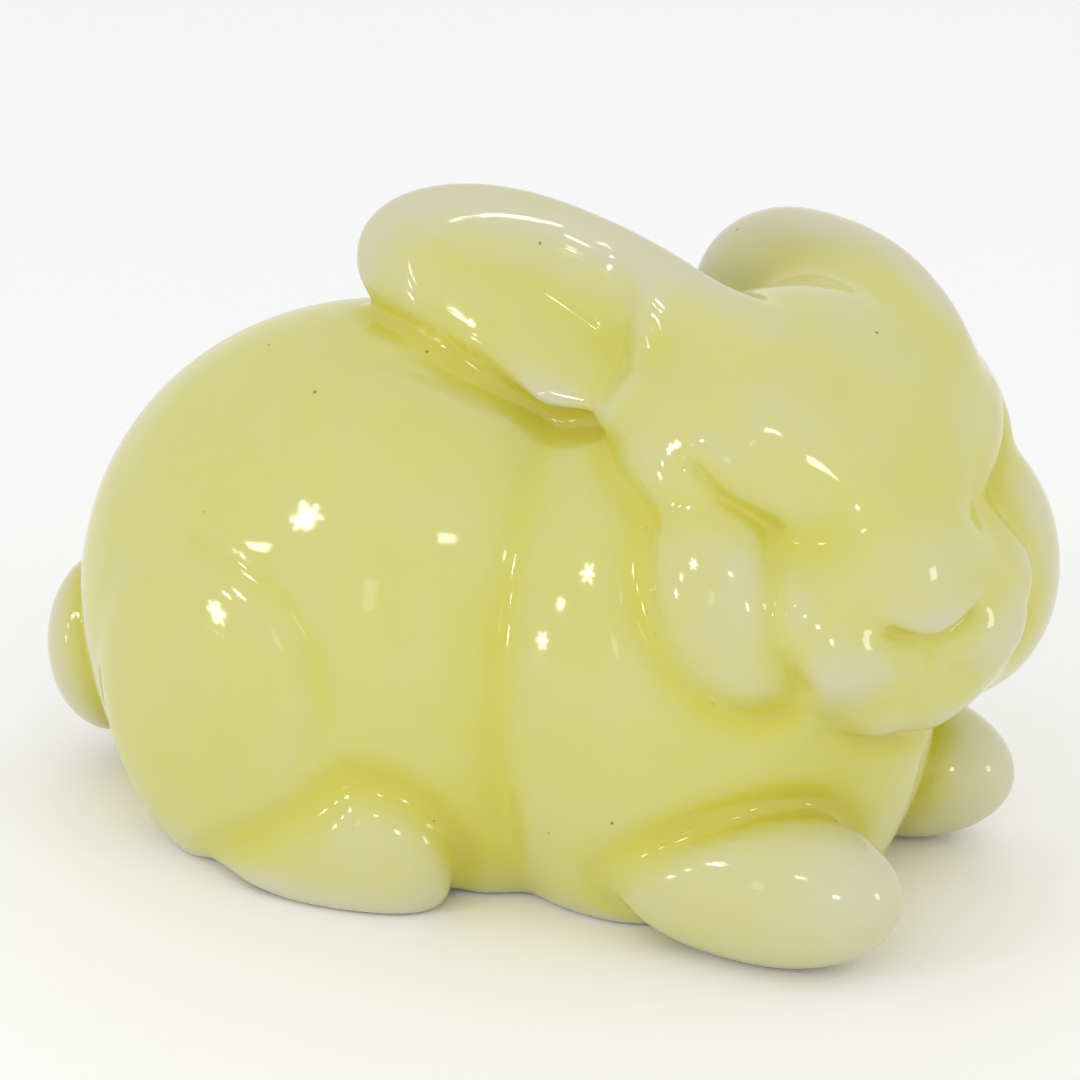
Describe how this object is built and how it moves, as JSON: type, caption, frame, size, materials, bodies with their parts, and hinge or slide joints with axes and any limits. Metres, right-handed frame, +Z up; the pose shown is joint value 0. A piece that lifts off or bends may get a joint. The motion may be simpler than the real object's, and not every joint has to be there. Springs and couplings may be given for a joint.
{
  "type": "ceramic rabbit figurine",
  "caption": "Glazed ceramic figurine of a crouching rabbit with its ears laid back and its head turned to one side.",
  "frame": {"origin": "on the table, under the middle of the whole rabbit's bounding box", "axes": "+X the way the body points, from tail to chest; +Y the rabbit's left; +Z up. The head is turned 36 degrees from +X towards -Y"},
  "size_m": [0.123, 0.0626, 0.0773],
  "materials": {
    "yellow_glaze": "glossy translucent lemon-yellow glaze over a white body"
  },
  "bodies": {
    "root": {"body_shell": "yellow_glaze", "head_shell": "yellow_glaze", "right_ear": "yellow_glaze", "left_ear": "yellow_glaze", "right_forepaw": "yellow_glaze", "left_forepaw": "yellow_glaze", "right_hind_foot": "yellow_glaze", "left_hind_foot": "yellow_glaze", "tail": "yellow_glaze"}
  },
  "joints": []
}
